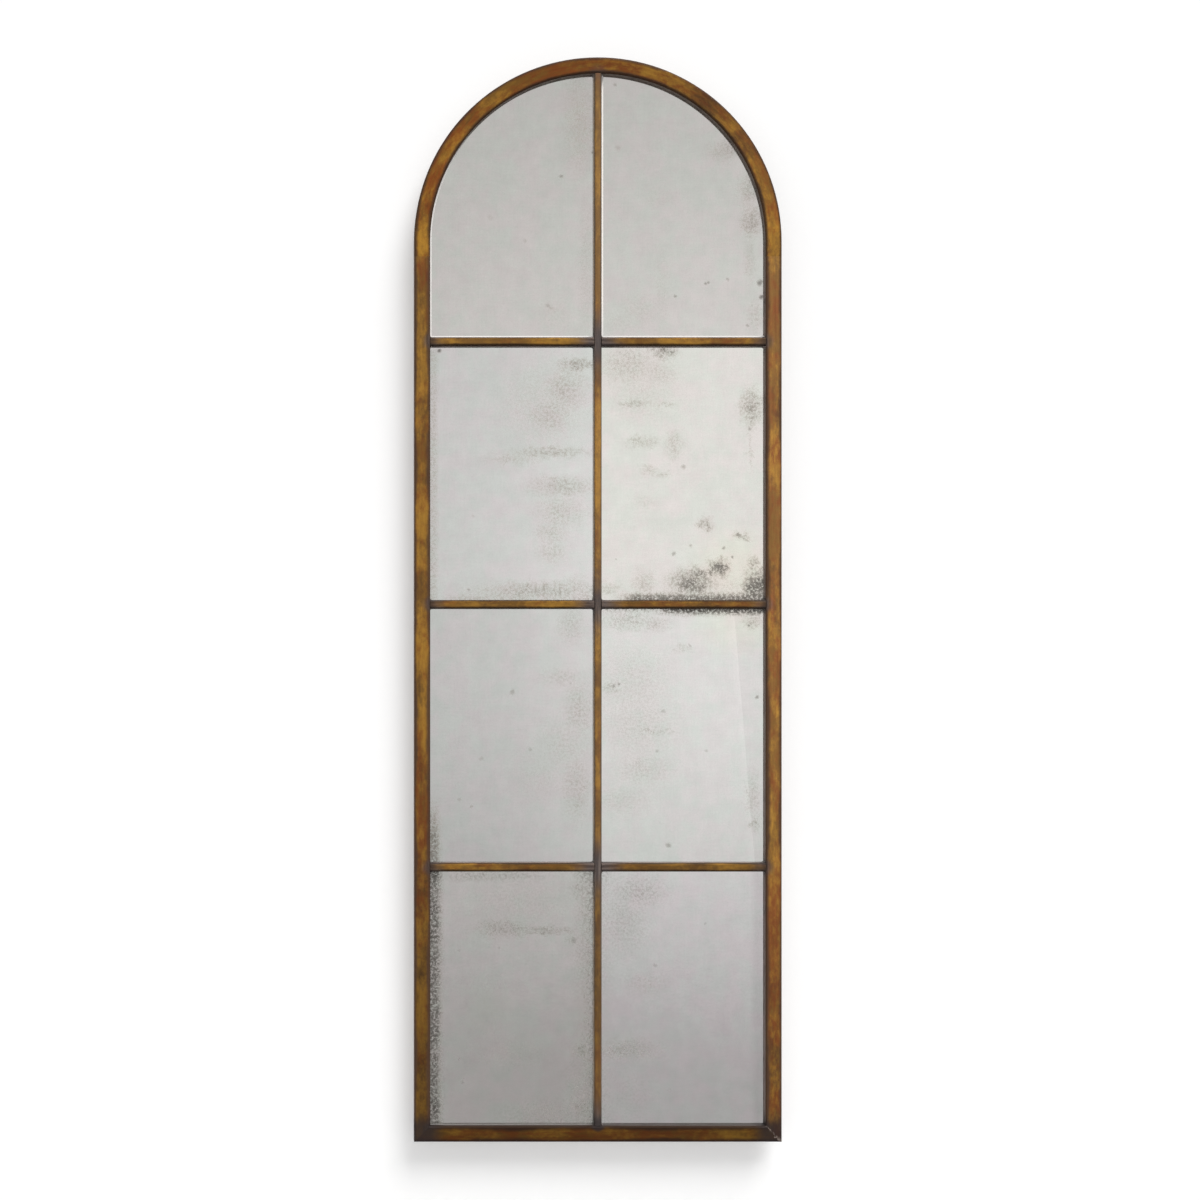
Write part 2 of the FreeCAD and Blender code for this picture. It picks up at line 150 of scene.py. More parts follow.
# the frame's lines, in metres
stile, stileSize = middleOf("right_stile")
lowerBar, barSize = middleOf("muntin_lower_right")
mullionSize = middleOf("centre_mullion")[1]
faceWidth = stileSize.x
faceMiddle = stile.x
halfOutside = faceMiddle + faceWidth / 2
springHeight = cadBox[1].z - halfOutside
crownInside = cadBox[1].z - faceWidth
frontPlane = cadBox[0].y
backPlane = stile.y + stileSize.y / 2
firstBar = lowerBar.z
barPitch = middleOf("muntin_middle_right")[0].z - firstBar

gilt = {
    "olive": (126, 89, 36), "straw": (172, 125, 46), "rust": (128, 68, 26), "umber": (78, 52, 31),
    "charcoal": (68, 60, 59), "soot": (45, 38, 37), "ash": (116, 104, 98), "scuff": (172, 156, 146),
    # the next line's colour is the pale tint of the painted sheen
    "sheenAndBloom": (182, 166, 154), "metal": 0.15,
}
# patches of each coat: how many to a metre across and along and a seed, then the noise where it starts and is full
coats = {
    "straw": {"patches": (18, 9, 20), "span": (0.42, 0.60)},
    "rust": {"patches": (17, 8, 50), "span": (0.44, 0.62)},
    "umber": {"patches": (20, 8, 80), "span": (0.49, 0.68)},
}
# rims: width inside or below, width outside or above, of dark rims that are dark wear with painted shade on the rounded
# edges; edge and flank: colours of the rims and the sides, the side colours a painted sheen and reflection, on the rail
# a painted shade;
# a pair of shares of pale painted sheen, at the left and at the right; tone: how light the bar is, and what it gains or
# loses on the way
giltBars = {
    "stile": {
        "rims": (0.0095, 0.0075), "edge": (74, 55, 44), "flank": (150, 134, 127), "rusty": -0.01, "gloss": 0.12,
        "paintedSheen": (0.020, 0.055), "brushed": 0.7, "patchy": 0.92,
        "tone": {"foot": 0.38, "gain": 0.39, "right": 0.36, "rightLoss": 0.05}},
    "arch": {
        "rims": (0.0080, 0.0085), "edge": (64, 47, 37), "flank": (132, 121, 113), "rusty": -0.01, "gloss": 0.08,
        "paintedSheen": (0.004, 0.020), "brushed": 0.7, "patchy": 0.92,
        "tone": {"crown": 0.71, "shoulders": 0.18, "right": 0.12, "pastCrown": 0.07}},
    "rail": {
        "rims": (0.0095, 0.0110), "edge": (40, 27, 20), "flank": (74, 68, 64), "rusty": 0.0, "gloss": 0.1,
        "paintedSheen": (0.005, 0.005), "brushed": 0.75, "patchy": 0.85,
        "tone": {"left": 0.34, "gain": 0.01}},
    "mullion": {
        "rims": (0.0024, 0.0040), "edge": (92, 76, 62), "flank": (206, 190, 172), "rusty": -0.03, "gloss": 0.4,
        "paintedSheen": (0.030, 0.030), "brushed": 0.7, "patchy": 0.55,
        "tone": {"foot": 0.45, "gain": 0.47, "topLoss": 0.14}},
    "muntin": {
        "rims": (0.0068, 0.0040), "edge": (44, 33, 25), "flank": (140, 125, 118), "rusty": -0.04, "gloss": 0.1,
        "paintedSheen": (0.025, 0.035), "brushed": 0.95, "patchy": 0.85,
        "tone": {"foot": 0.66, "gain": 0.16}},
}
runStart = {"rail": 10, "muntin": 20, "muntinRow": 3.7, "mullion": 30}  # so that no two bars share their patches


def giltBar(name, place):
    bar = giltBars[name]
    look = Finish("gilt_" + name)
    x, y, z = look.add("SeparateXYZ", {}, {0: look.at})
    run, across, half, level, burnt, sooty = place(look, x, y, z, bar["tone"])

    def patches(fine, coarse, seed, detail=3):
        return look.noise(look.point(across * fine, y * fine, run * coarse + seed), 1, detail, 0.66)

    def mottled(coat):  # long soft patches with broken edges
        fine, coarse, seed = coats[coat]["patches"]
        return patches(fine, coarse, seed, 2) * 0.64 + patches(fine * 7, coarse * 8, seed + 3, 4) * 0.36
    streaks = patches(230, 12, 5, 4)
    grain = look.noise(look.at, 560, 4, 0.65)

    # the coats, one over the other
    straw = mottled("straw").between(*coats["straw"]["span"])
    colour = look.mix(tint(*gilt["olive"]), tint(*gilt["straw"]), straw)
    redder = bar["rusty"] + z.between(crownInside - 0.16, crownInside, 0.08)  # rustier at the crown and the foot
    redder = redder + z.between(0.9, 0.1, 0.04)
    rust = (mottled("rust") + redder).between(*coats["rust"]["span"], bar["patchy"])
    rust = rust * patches(90, 34, 170, 4).between(0.25, 0.58)  # worn through in places
    colour = look.mix(colour, tint(*gilt["rust"]), rust)
    umber = mottled("umber").between(*coats["umber"]["span"], bar["patchy"] * 0.78)
    colour = look.mix(colour, tint(*gilt["umber"]), umber)
    shade = level * (1.02 + (streaks - 0.5) * bar["brushed"] + (grain - 0.5) * 0.48)
    # pale painted sheen, more of it to the right and higher up, mixed in before the level scales the colour
    left, right = bar["paintedSheen"]
    paintedSheen = left + x.between(-0.05, 0.36, right - left) * z.between(-0.3, 1.3)
    colour = look.scaled(look.mix(colour, tint(*gilt["sheenAndBloom"]), paintedSheen), shade)

    # dark rims, dark wear with painted shade on the rounded edges, with a ragged inner line, then the sides in their
    # painted sheen and shade colours
    wander = (grain - 0.5) * 0.006 + (patches(12, 9, 140, 4) - 0.5) * 0.014
    low, high = bar["rims"]
    wander = wander * min(1, high / 0.008)
    lowRim = (wander - across).between(half - low, half - low * 0.25)
    highRim = (wander + across).between(half - high, half - high * 0.25)
    colour = look.mix(colour, tint(*bar["edge"]), (lowRim | highRim) * 0.9)
    side = y.between(frontPlane + 0.0035, frontPlane + 0.0065, 0.9)
    worn = patches(60, 30, 110).between(0.5, 0.75, 0.6) | y.between(backPlane - 0.004, backPlane - 0.001, 0.8)
    # the side colour is a painted sheen and reflection, on the rail a painted shade
    flank = look.mix(tint(*bar["flank"]), tint(*gilt["soot"]), worn)
    colour = look.mix(colour, flank, side)

    # burnt and sooty joints, and the scuffed mitre
    cloudy = 0.75 + grain * 0.5
    char = look.mix(tint(*gilt["charcoal"]), tint(*gilt["ash"]), streaks.between(0.46, 0.66, 0.7))
    colour = look.mix(colour, char, burnt * cloudy)
    colour = look.mix(colour, tint(*gilt["soot"]), sooty * cloudy)
    wobble = look.noise(look.at, 130, 3) - 0.5
    scuffed = abs(halfOutside - x - z + wobble * 0.02).between(0.003, 0.001) * z.between(0.034, 0.026)
    scuffed = scuffed * streaks.between(0.44, 0.62, 0.6) * (1 - side)
    colour = look.mix(colour, tint(*gilt["scuff"]), scuffed)
    rough = 0.5 + (streaks - 0.5) * 0.4 + burnt * 0.06
    sockets = {"Base Color": colour, "Roughness": rough, "Metallic": gilt["metal"], "Specular IOR Level": bar["gloss"]}
    return look.close(sockets, streaks + grain * 0.5, 0.0002)


def mitre(x, z):  # dark corner with a line along the joint
    toEnd = halfOutside - abs(x)
    inner = (toEnd | z).between(0.062, 0.030, 0.85)
    joint = abs(toEnd - z).between(0.0022, 0.0006, 0.9) * (toEnd | z).between(faceWidth + 0.004, faceWidth)
    return inner | joint


# for each kind of bar: the way along it, the way across, half its width, its level, and where it is burnt and sooty
def alongStile(look, x, y, z, tone):
    right = look.add("Math", {"operation": "GREATER_THAN"}, {0: x, 1: 0})
    wholeRound = 2 * springHeight + math.pi * faceMiddle
    run = right * z + (1 - right) * (wholeRound - z)
    across = abs(x) - faceMiddle
    toBar = (z - firstBar).folded(barPitch / 2)
    meeting = look.vector("LENGTH", look.point(toBar, across + faceWidth / 2, 0), out=1)
    level = tone["foot"] + z.between(0.05, 1.0, tone["gain"])
    level = level + right * (tone["right"] - z.between(0.2, 1.0, tone["rightLoss"]))
    return run, across, faceWidth / 2, level, meeting.between(0.020, 0.007, 0.6), mitre(x, z)


def alongArch(look, x, y, z, tone):
    rise = z - springHeight
    turn = look.add("Math", {"operation": "ARCTAN2"}, {0: x, 1: rise})  # from the crown, positive to the right
    radius = look.vector("LENGTH", look.point(x, rise, 0), out=1)
    toCrown = look.vector("LENGTH", look.point(x, z - crownInside, 0), out=1)
    run = springHeight + (math.pi / 2 - turn) * faceMiddle
    level = tone["crown"] + abs(turn).between(0.5, 1.1, tone["shoulders"]) + turn.between(0.9, 1.57, tone["right"])
    level = level - turn.between(-0.15, 0.15, tone["pastCrown"]) * turn.between(1.05, 0.7)
    return run, radius - faceMiddle, faceWidth / 2, level, toCrown.between(0.022, 0.006, 0.3), x * 0


def alongRail(look, x, y, z, tone):
    level = tone["left"] + x.between(-0.3, 0.3, tone["gain"])
    toFoot = look.vector("LENGTH", look.point(x, z - faceWidth - 0.003, 0), out=1)  # the mullion's weld
    sooty = mitre(x, z) | toFoot.between(0.017, 0.009, 0.9)
    return x + runStart["rail"], z - faceWidth / 2, faceWidth / 2, level, x * 0, sooty


def alongMullion(look, x, y, z, tone):
    toBar = (z - firstBar).folded(barPitch / 2)
    foot = z.between(faceWidth + 0.026, faceWidth + 0.006, 0.85)
    head = z.between(crownInside - 0.02, crownInside - 0.004, 0.2)
    crossing = toBar.between(0.078, 0.008, 0.95) * z.between(1.9, 1.8)
    level = tone["foot"] + z.between(0.1, 1.2, tone["gain"]) - z.between(1.7, 2.0, tone["topLoss"])
    return z + runStart["mullion"], x, mullionSize.x / 2, level, crossing | head, foot


def alongMuntin(look, x, y, z, tone):
    row = look.add("Math", {"operation": "ROUND"}, {0: (z - firstBar) / barPitch})
    across = z - firstBar - row * barPitch
    run = x + row * runStart["muntinRow"] + runStart["muntin"]
    out = abs(x)
    burnt = out.between(0.062, 0.012, 0.95) | out.between(0.286, 0.312, 0.5)  # at the mullion and at the stiles
    level = tone["foot"] + z.between(0.5, 1.6, tone["gain"])
    return run, across, barSize.z / 2, level, burnt, out.between(0.308, 0.320, 0.6)


dress(giltBar("stile", alongStile), "left_stile", "right_stile")
dress(giltBar("arch", alongArch), "arch_head")
dress(giltBar("rail", alongRail), "bottom_rail")
dress(giltBar("mullion", alongMullion), "centre_mullion")
dress(giltBar("muntin", alongMuntin), *[f"muntin_{level}_{side}" for level in levels[:3] for side in sides])
print("frame bars finished")

weldBead = {"dark": (50, 42, 40), "grey": (104, 94, 90), "pale": (206, 188, 180)}


def weldFinish():  # pale flecks on the beads at the crown and at the ends of the top bar, dark beads elsewhere
    look = Finish("weld_bead")
    x, y, z = look.add("SeparateXYZ", {}, {0: look.at})
    ripple = look.noise(look.at, 420, 3, 0.6)
    cloud = look.noise(look.at, 160, 2)
    share = (ripple * 0.6 + cloud * 0.4).between(0.35, 0.65)
    colour = look.mix(tint(*weldBead["dark"]), tint(*weldBead["grey"]), share)
    topBar = abs(z - firstBar - 2 * barPitch).between(0.03, 0.02) * abs(x).between(0.2, 0.3)
    paleFlecks = (topBar | z.between(crownInside - 0.05, crownInside - 0.03)) * ripple.between(0.42, 0.6, 0.8)
    colour = look.mix(colour, tint(*weldBead["pale"]), paleFlecks)
    sockets = {"Base Color": colour, "Roughness": 0.62 - share * 0.2, "Metallic": 0.3}
    return look.close(sockets, ripple, 0.0004)


dress(weldFinish(), "weld_fillets")

# antiqued panes, in millimetres: clouds of specks are x, z, half width, half height, thickness;
# spots are x, z, radius, thickness; bands fade in between two x and two z values, then thickness;
# ramps are two x values, a slope and how much the silver darkens between them, lightening where negative, the one along
# the right stile of the lower right pane a painted reflection of the stile's dark inner side; cream is x, z, half
# width, half height;
# pale, matte strips along the left edge, the foot and the arch are given by their widths
panes = {
    "arch_left": {"silver": (210, 207, 205), "paleLeft": 3.4, "paleFoot": 4.5, "paleArch": 3.0, "clouds": [
        (-34, 1960, 30, 95, 0.48), (-22, 1690, 14, 150, 0.28), (-80, 1590, 40, 40, 0.2), (-90, 1602, 12, 12, 0.4)],
        "spots": [(-70, 1857, 4, 0.9), (-9, 1904, 4, 0.6), (-95, 1608, 4, 0.5), (-206, 1777, 5, 0.3),
                  (-140, 1733, 4, 0.35), (-45, 2004, 3, 0.4), (-44, 2021, 3, 0.4)]},
    "arch_right": {"silver": (211, 208, 206), "paleLeft": 4.8, "paleFoot": 4.6, "clouds": [
        (243, 1905, 30, 18, 0.5), (290, 1826, 18, 30, 0.5), (297, 1768, 18, 28, 0.68), (293, 1700, 12, 45, 0.36),
        (125, 1640, 16, 90, 0.22), (80, 1600, 40, 36, 0.26), (45, 1575, 40, 25, 0.22), (118, 1815, 30, 18, 0.2),
        (305, 1590, 14, 30, 0.36)],
        "spots": [(40, 1912, 6, 0.45), (207, 1651, 3, 0.9), (213, 1654, 3, 0.8), (252, 1658, 3, 0.6),
                  (150, 1625, 3, 0.8), (290, 1570, 3, 0.6), (34, 2034, 4, 0.6), (314, 1652, 5, 1.0),
                  (316, 1624, 4, 1.0)]},
    "upper_left": {"silver": (212, 210, 210), "clouds": [
        (-42, 1495, 40, 13, 0.66), (-62, 1445, 42, 44, 0.54), (-92, 1395, 46, 36, 0.52), (-92, 1326, 78, 11, 0.54),
        (-165, 1312, 54, 11, 0.4), (-70, 1258, 60, 20, 0.54), (-70, 1212, 50, 32, 0.42), (-88, 1172, 34, 24, 0.4),
        (-86, 1132, 32, 24, 0.36), (-110, 1058, 130, 18, 0.56), (-100, 1420, 90, 90, 0.32), (-40, 1064, 30, 22, 0.42)],
        "spots": [(-304, 1521, 4, 1.0), (-248, 1061, 3, 0.7), (-238, 1203, 3, 0.3)],
        "bands": [(-300, -314, 1560, 1500, 0.42), (-296, -316, 1110, 1060, 0.4), (-330, -260, 1064, 1044, 0.44)],
        "ramps": [(-210, -20, 0, -0.07)]},
    "upper_right": {"silver": (225, 222, 219), "clouds": [
        (128, 1520, 26, 16, 0.64), (62, 1490, 56, 36, 0.46), (118, 1478, 40, 26, 0.40), (74, 1420, 36, 9, 0.58),
        (132, 1418, 24, 7, 0.46), (90, 1440, 70, 60, 0.28), (88, 1345, 30, 13, 0.46), (147, 1340, 18, 28, 0.44),
        (100, 1290, 16, 12, 0.4), (127, 1283, 16, 8, 0.42), (92, 1228, 26, 14, 0.26), (297, 1412, 20, 36, 0.72),
        (295, 1335, 4, 40, 0.4), (207, 1190, 15, 12, 0.66), (216, 1181, 9, 6, 0.8), (276, 1163, 14, 8, 0.78),
        (234, 1102, 20, 17, 1.0), (300, 1112, 12, 15, 0.6), (182, 1074, 44, 25, 0.92), (196, 1092, 26, 13, 0.85),
        (305, 1066, 24, 32, 1.1),
        (26, 1062, 24, 14, 0.44), (90, 1070, 24, 26, 0.5), (250, 1068, 60, 18, 0.3)],
        "spots": [(166, 1297, 4, 0.6), (148, 1130, 4, 0.7), (181, 1146, 3, 0.6), (244, 1141, 3, 0.8),
                  (261, 1123, 3, 0.9), (36, 1119, 2, 0.5), (294, 1372, 4, 0.7)],
        "bands": [(10, 80, 1067, 1043, 0.92)], "cream": [(265, 1105, 80, 70)]},
    "middle_left": {"silver": (204, 202, 202), "clouds": [
        (-50, 990, 26, 34, 0.36), (-66, 892, 44, 20, 0.34), (-36, 830, 30, 60, 0.42), (-40, 680, 30, 70, 0.42),
        (-60, 760, 60, 60, 0.3), (-110, 700, 60, 60, 0.24), (-38, 650, 16, 22, 0.5)],
        "spots": [(-163, 863, 5, 0.6), (-224, 735, 4, 0.4), (-265, 657, 3, 0.5), (-243, 643, 3, 0.6),
                  (-128, 753, 3, 0.45), (-52, 879, 3, 0.4)],
        "bands": [(-291, -314, 690, 590, 0.82)], "ramps": [(-200, -15, 0, -0.09)]},
    "middle_right": {"silver": (222, 221, 220), "clouds": [
        (110, 994, 34, 14, 0.42), (160, 948, 22, 9, 0.34), (300, 1000, 20, 14, 0.5), (26, 872, 22, 16, 0.44),
        (70, 880, 76, 80, 0.3), (108, 788, 48, 8, 0.44), (90, 715, 60, 34, 0.34), (50, 655, 54, 30, 0.3),
        (80, 800, 80, 70, 0.3), (300, 665, 14, 44, 0.4), (304, 610, 12, 14, 0.55), (60, 1000, 60, 24, 0.4)],
        "spots": [(42, 879, 3, 0.8), (31, 874, 3, 0.8), (136, 568, 5, 0.75), (128, 827, 4, 0.5), (308, 853, 3, 0.8),
                  (116, 750, 3, 0.5), (210, 751, 3, 0.4), (178, 953, 3, 0.5), (292, 992, 3, 0.9)],
        "cream": [(270, 990, 80, 50)],
        "bands": [(60, 170, 1002, 1024, 1.0), (-20, 20, 1004, 1028, 0.5)],
        "ramps": [(347, 349, -0.0825, 0.08), (330, 347, -0.0825, -0.03)]},
    "lower_left": {"silver": (209, 206, 205), "paleFoot": 0.9, "clouds": [
        (-180, 408, 60, 20, 0.56), (-100, 404, 70, 9, 0.58), (-30, 480, 26, 24, 0.48), (-30, 172, 22, 20, 0.66),
        (-30, 62, 24, 26, 0.6), (-45, 387, 14, 10, 0.5), (-100, 50, 80, 26, 0.42), (-210, 250, 50, 60, 0.34),
        (-160, 170, 70, 30, 0.34), (-36, 110, 22, 70, 0.4), (-200, 508, 120, 12, 0.4), (-150, 460, 120, 60, 0.3)],
        "spots": [(-43, 385, 6, 0.7), (-266, 158, 3, 0.7), (-260, 112, 3, 0.9), (-265, 366, 3, 0.5),
                  (-188, 372, 3, 0.5), (-258, 118, 2, 0.5)],
        "bands": [(-288, -311, 700, 600, 0.86), (-74, -10, 700, 600, 0.5)]},
    "lower_right": {"silver": (223, 219, 221), "clouds": [
        (58, 176, 70, 24, 0.58), (78, 476, 56, 32, 0.46), (50, 420, 48, 70, 0.42), (90, 300, 44, 26, 0.38),
        (60, 90, 44, 50, 0.28)],
        "spots": [(112, 337, 4, 0.6), (208, 417, 3, 0.35), (58, 443, 3, 0.4), (140, 97, 3, 0.3)],
        # the ramp along the right stile is a painted reflection of the stile's dark inner side
        "bands": [(60, 10, 700, 600, 0.3)], "ramps": [(292, 310, 0, 0.10)]},
}
foxing = {"dark": (112, 107, 100), "faint": (166, 157, 141), "mist": 0.36, "veil": (0.80, 0.775, 0.71, 1),
          "cream": (1.05, 1.03, 0.98, 1), "paleStrip": (246, 243, 240), "paleFade": 0.8}
stains = {"arch": 0.92, "upper": 1.0, "middle": 0.94, "lower": 0.70}  # how light the stains are in each row
# noise scales, the two hues of the silver, then its level and what each noise adds
silvering = {"mottle": 34, "hue": 22, "speck": 190, "fine": 420, "drift": 60,
             "cool": (0.963, 1.01, 0.972, 1), "warm": (1.015, 0.988, 0.985, 1),
             "level": 0.75, "mottled": 0.18, "woven": 0.06, "grainy": 0.17, "coat": 0.25, "coatRough": 0.03}


def paneCorner(name):  # lower left corner of the part of a pane that shows between the bars
    row, side = name.split("_")
    left = -(halfOutside - faceWidth) if side == "left" else mullionSize.x / 2
    step = levels.index(row) - 1
    foot = faceWidth if step < 0 else firstBar + barPitch * step + barSize.z / 2
    return left * mm, foot * mm


def antiquePane(name, pane):
    look = Finish("antique_pane_" + name)
    x, y, z = look.add("SeparateXYZ", {}, {0: look.vector("MULTIPLY", look.at, (mm, mm, mm))})
    place = look.point(x, 0, z)
    drift = {"Vector": look.at, "Scale": silvering["drift"], "Detail": 5, "Roughness": 0.65}
    drift = look.add("TexNoise", {}, drift, "Color")

    def shaken(reach):  # the place, moved by up to half the reach
        start = look.vector("ADD", place, (-reach / 2, 0, -reach / 2))
        return look.vector("MULTIPLY_ADD", drift, (reach, 0, reach), start)
    ragged = shaken(40)
    trembling = shaken(12)
    trembleX, _, trembleZ = look.add("SeparateXYZ", {}, {0: trembling})

    def away(at, markX, markZ, wide, high):  # distance to a mark, 1 at its edge
        near = look.vector("SUBTRACT", at, (markX, 0, markZ))
        return look.vector("LENGTH", look.vector("MULTIPLY", near, (1 / wide, 0, 1 / high)), out=1)
    mottle = look.noise(look.at, silvering["mottle"], 5, 0.6)
    hue = look.noise(look.at, silvering["hue"], 5, 0.65)
    speck = look.noise(look.at, silvering["speck"], 4, 0.82)
    fine = look.noise(look.at, silvering["fine"], 3, 0.7)

    # how thick the foxing lies, and where its specks show
    thick = mottle * 0
    for markX, markZ, wide, high, strength in pane["clouds"]:
        thick = thick | away(ragged, markX, markZ, wide, high).between(1.9, 0.0, strength)
    for fromX, toX, fromZ, toZ, strength in pane.get("bands", []):
        thick = thick | trembleX.between(fromX, toX) * trembleZ.between(fromZ, toZ, strength)
    spots = thick * 0
    for markX, markZ, radius, strength in pane["spots"]:
        spots = spots | away(trembling, markX, markZ, radius, radius).between(1.6, 0.2, strength)
    thick = thick * (0.62 + mottle * 0.76)
    cover = thick.between(0.0, 1.0)
    depth = thick.between(0.3, 1.0) | spots
    fox = cover * (0.14 + (speck + depth * depth * 0.06).between(0.445, 0.585, 0.86)) | spots * 0.7

    # the silver, its veils and stains
    weave = look.noise(look.point(x * 0.03, 0, z * 0.26), 1, 2) + look.noise(look.point(x * 0.26, 0, z * 0.03), 1, 2)
    silver = look.mix(silvering["cool"], silvering["warm"], hue.between(0.36, 0.64))
    silver = look.mix(tint(*pane["silver"]), silver, 1, "MULTIPLY")
    level = silvering["level"] + mottle * silvering["mottled"] + weave * silvering["woven"] + fine * silvering["grainy"]
    # darker or lighter ramps across the pane; along the lower right pane's right stile, a painted reflection of the
    # stile's dark inner side
    for fromX, toX, slope, amount in pane.get("ramps", []):
        level = level - (x - z * slope).between(fromX, toX, amount)
    silver = look.scaled(silver, level)
    silver = look.mix(silver, foxing["veil"], cover * foxing["mist"], "MULTIPLY")
    for markX, markZ, wide, high in pane.get("cream", []):
        creamy = away(ragged, markX, markZ, wide, high).between(1.5, 0.2)
        silver = look.mix(silver, foxing["cream"], creamy, "MULTIPLY")
    pale = stains[name.split("_")[0]]
    faint, dark = [tint(*[channel * pale for channel in foxing[kind]]) for kind in ("faint", "dark")]
    colour = look.mix(silver, look.mix(faint, dark, depth), fox)

    # pale, matte strips along some edges
    left, foot = paneCorner(name)
    fade = foxing["paleFade"]
    paleStrip = x * 0
    if "paleLeft" in pane:
        edge = left + pane["paleLeft"]
        paleStrip = paleStrip | x.between(edge, edge - fade)
    if "paleFoot" in pane:
        edge = foot + pane["paleFoot"]
        paleStrip = paleStrip | z.between(edge, edge - fade)
    if "paleArch" in pane:
        spring = springHeight * mm
        edge = (crownInside - springHeight) * mm - pane["paleArch"]
        bent = away(place, 0, spring, 1, 1).between(edge, edge + fade)
        paleStrip = paleStrip | bent * z.between(1960, 1880) * z.between(spring - 20, spring)
    colour = look.mix(colour, tint(*foxing["paleStrip"]), paleStrip)
    metal = (1 - fox * 0.75) * (1 - paleStrip)
    rough = 0.07 + mottle * 0.04 + fox * 0.4 + paleStrip * 0.4
    sockets = {"Base Color": colour, "Roughness": rough, "Metallic": metal, "Coat Weight": silvering["coat"],
               "Coat Roughness": silvering["coatRough"]}
    return look.close(sockets, speck * 0.3 + mottle, 0.00004)


for name, pane in panes.items():
    dress(antiquePane(name, pane), "pane_" + name)
print("panes silvered:", len(panes))


# backs and fittings: dark and pale colour; platings: dull and bright colour, roughness, noise scale
softStuff = {"board": ((140, 104, 70), (184, 146, 104)), "rubber": ((26, 26, 27), (48, 47, 46)),
             "foam": ((196, 196, 190), (236, 235, 230))}
platings = {
    "zinc_plate": ((148, 150, 152), (196, 197, 196), 0.30, 120),
    "yellow_zinc": ((168, 138, 78), (206, 190, 136), 0.26, 300),
    "nickel_wire": ((176, 174, 168), (214, 212, 206), 0.16, 220),
    "mill_steel": ((104, 104, 106), (150, 149, 148), 0.42, 90),
}


def fibreboard():
    look = Finish("sanded_fibreboard")
    fibre = look.noise(look.vector("MULTIPLY", look.at, (1, 1, 0.35)), 1400, 4, 0.65)
    cloud = look.noise(look.at, 22, 4)
    dark, pale = softStuff["board"]
    colour = look.mix(tint(*dark), tint(*pale), (fibre * 0.6 + cloud * 0.4).between(0.32, 0.68))
    return look.close({"Base Color": colour, "Roughness": 0.78 - fibre * 0.1}, fibre, 0.0002)


def plated(name):
    dull, bright, rough, scale = platings[name]
    look = Finish(name)
    sheenAndBloom = look.noise(look.at, scale, 4, 0.6)
    scratch = look.noise(look.vector("MULTIPLY", look.at, (1, 1, 0.08)), scale * 9, 3)
    share = (sheenAndBloom * 0.7 + scratch * 0.3).between(0.36, 0.64)
    colour = look.mix(tint(*dull), tint(*bright), share)
    sockets = {"Base Color": colour, "Roughness": rough + (1 - share) * 0.14, "Metallic": 1.0}
    return look.close(sockets, scratch, 0.00006)


def rubber():
    look = Finish("bumper_rubber")
    grain = look.noise(look.at, 2600, 3)
    dark, pale = softStuff["rubber"]
    colour = look.mix(tint(*dark), tint(*pale), grain.between(0.35, 0.7))
    return look.close({"Base Color": colour, "Roughness": 0.62 + grain * 0.2}, grain, 0.00015)


def foam():
    look = Finish("tape_foam")
    cells = look.noise(look.at, 1800, 2)
    dark, pale = softStuff["foam"]
    colour = look.mix(tint(*dark), tint(*pale), cells.between(0.35, 0.65))
    return look.close({"Base Color": colour, "Roughness": 0.85 - cells * 0.1}, cells, 0.0002)


dress(fibreboard(), "backing_board")
dress(plated("zinc_plate"), "retaining_plates", "hanger_strap_left", "hanger_strap_right")
dress(plated("yellow_zinc"), "plate_screws", "hanger_screws")
dress(plated("nickel_wire"), "hang_ring_left", "hang_ring_right")
dress(plated("mill_steel"), "corner_keys", "arch_spigots")
dress(rubber(), "wall_bumpers")
dress(foam(), "mounting_tape")
print("back and fittings finished")

# stage: a white wall behind, a pale floor below the picture; both fade out far from the mirror
stageLook = {"wall": (0.68, 0.68, 0.68, 1), "glow": 0.325, "wallAt": 0.025, "wallHalf": 7, "wallTop": 6,
             "wallFade": (3.0, 6.2), "floor": (0.38, 0.377, 0.374, 1), "floorAt": -0.30, "floorHalf": 8,
             "floorFade": (1.3, 4.4)}


def sheet(name, corners):
    mesh = bpy.data.meshes.new(name)
    mesh.from_pydata(corners, [], [(0, 1, 2, 3)])
    item = bpy.data.objects.new(name, mesh)
    bpy.context.scene.collection.objects.link(item)
    item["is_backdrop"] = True
    return item


def wallPaint():  # clear from behind and for shadows, lit up where it is seen
    look = Finish("wall_paint")
    paint = look.add("BsdfDiffuse", {}, {"Color": stageLook["wall"]})
    clear = look.add("BsdfTransparent", {}, {})
    behind = look.add("NewGeometry", {}, {}, "Backfacing")

    def ray(kind):
        return look.add("LightPath", {}, {}, f"Is {kind} Ray")
    seen = ray("Camera") | ray("Glossy") | ray("Transmission")
    lit = look.add("Emission", {}, {"Color": look.mix((0, 0, 0, 1), (1, 1, 1, 1), seen * stageLook["glow"])})
    paint = look.add("AddShader", {}, {0: paint, 1: lit})
    away = look.vector("LENGTH", look.at, out=1).between(*stageLook["wallFade"])
    shown = look.add("MixShader", {}, {0: behind | ray("Shadow") | away, 1: paint, 2: clear})
    look.add("OutputMaterial", {}, {0: shown})
    return look.material


def floorPaint():
    look = Finish("floor_paint")
    paint = look.add("BsdfDiffuse", {}, {"Color": stageLook["floor"]})
    clear = look.add("BsdfTransparent", {}, {})
    away = look.vector("LENGTH", look.at, out=1).between(*stageLook["floorFade"])
    look.add("OutputMaterial", {}, {0: look.add("MixShader", {}, {0: away, 1: paint, 2: clear})})
    return look.material


def rectangle(half, low, high):
    return (-half, low), (half, low), (half, high), (-half, high)


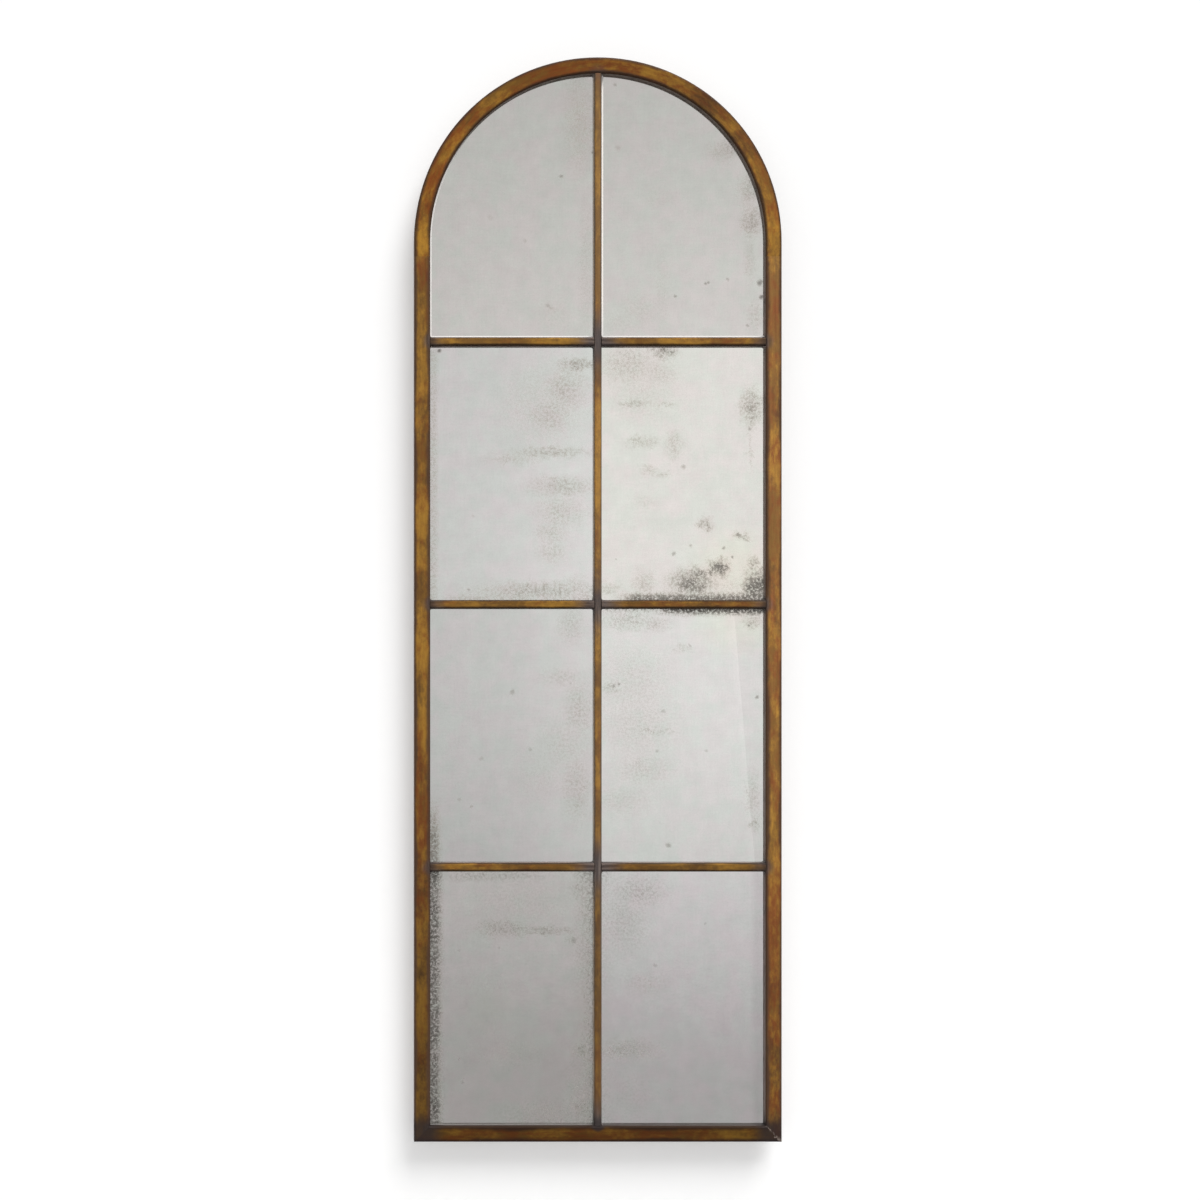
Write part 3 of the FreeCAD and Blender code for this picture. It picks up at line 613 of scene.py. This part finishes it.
wallCorners = rectangle(stageLook["wallHalf"], stageLook["floorAt"], stageLook["wallTop"])
floorCorners = rectangle(stageLook["floorHalf"], -stageLook["floorHalf"], stageLook["floorHalf"])
wall = sheet("wall", [(x, stageLook["wallAt"], z) for x, z in wallCorners])
floor = sheet("floor", [(x, y, stageLook["floorAt"]) for x, y in floorCorners])
wall.data.materials.append(wallPaint())
floor.data.materials.append(floorPaint())

# lamps: the way towards each, power, spread in degrees
lamps = {"key": ((0.29, -0.52, 0.80), 3.0, 36), "back_fill": ((-0.4, 0.8, 0.5), 1.6, 60)}


def sun(name, towards, power, spread):
    lamp = bpy.data.lights.new(name, "SUN")
    lamp.energy = power
    lamp.angle = math.radians(spread)
    item = bpy.data.objects.new(name, lamp)
    item.rotation_mode = "QUATERNION"
    item.rotation_quaternion = Vector(towards).to_track_quat("Z", "Y")
    bpy.context.scene.collection.objects.link(item)


for name, lamp in lamps.items():
    sun(name, *lamp)

# levels of the room, then soft bright patches: level, the way towards each, spread in degrees
studio = {"room": 0.65, "low": 0.335, "around": 0.6, "above": 0.06, "white": (1, 0.998, 0.994, 1),
          "patches": [(0.40, (0.235, -0.970, 0.055), 9.5), (0.4, (-0.92, -0.30, 0.25), 30)]}


def studioRoom():
    world = bpy.data.worlds.new("studio")
    world.use_nodes = True
    room = Tree(world.node_tree)
    way = room.add("TexCoord", {}, {}, "Generated")
    x, y, z = room.add("SeparateXYZ", {}, {0: way})
    level = studio["low"] + z.between(-0.34, 0.02, studio["room"] - studio["low"])
    level = level * (studio["around"] + y.between(-0.5, -0.92, 1 - studio["around"]))  # brightest ahead of the mirror
    level = level * (1 - z.between(0.14, 0.34, studio["above"]))
    for bright, towards, spread in studio["patches"]:
        near = room.vector("DOT_PRODUCT", way, Vector(towards).normalized(), out=1)
        fall = (near - 1) / math.radians(spread) ** 2
        level = level + room.add("Math", {"operation": "EXPONENT"}, {0: fall}) * bright
    colour = room.mix((0, 0, 0, 1), studio["white"], level)
    room.add("OutputWorld", {}, {0: room.add("Background", {}, {0: colour})})
    bpy.context.scene.world = world


studioRoom()
print("stage lit")

# camera square to the mirror, left of it, at about waist height
shot = {"x": -0.50, "z": 0.93, "distance": 3.6, "frameWidth": 2.3025, "middleX": 0.0035, "middleZ": 1.0405,
        "sensor": 36}


def camera():
    lens = bpy.data.cameras.new("shot")
    lens.sensor_width = shot["sensor"]
    lens.lens = shot["sensor"] * shot["distance"] / shot["frameWidth"]
    lens.shift_x = (shot["middleX"] - shot["x"]) / shot["frameWidth"]
    lens.shift_y = (shot["middleZ"] - shot["z"]) / shot["frameWidth"]
    item = bpy.data.objects.new("shot", lens)
    item.location = (shot["x"], frontPlane - shot["distance"], shot["z"])
    item.rotation_euler = (math.pi / 2, 0, 0)
    bpy.context.scene.collection.objects.link(item)
    bpy.context.scene.camera = item


camera()
bpy.context.scene.view_settings.view_transform = "Standard"

{"cad": [list(c) for c in cadBox], "visual": [list(c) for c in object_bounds()]}
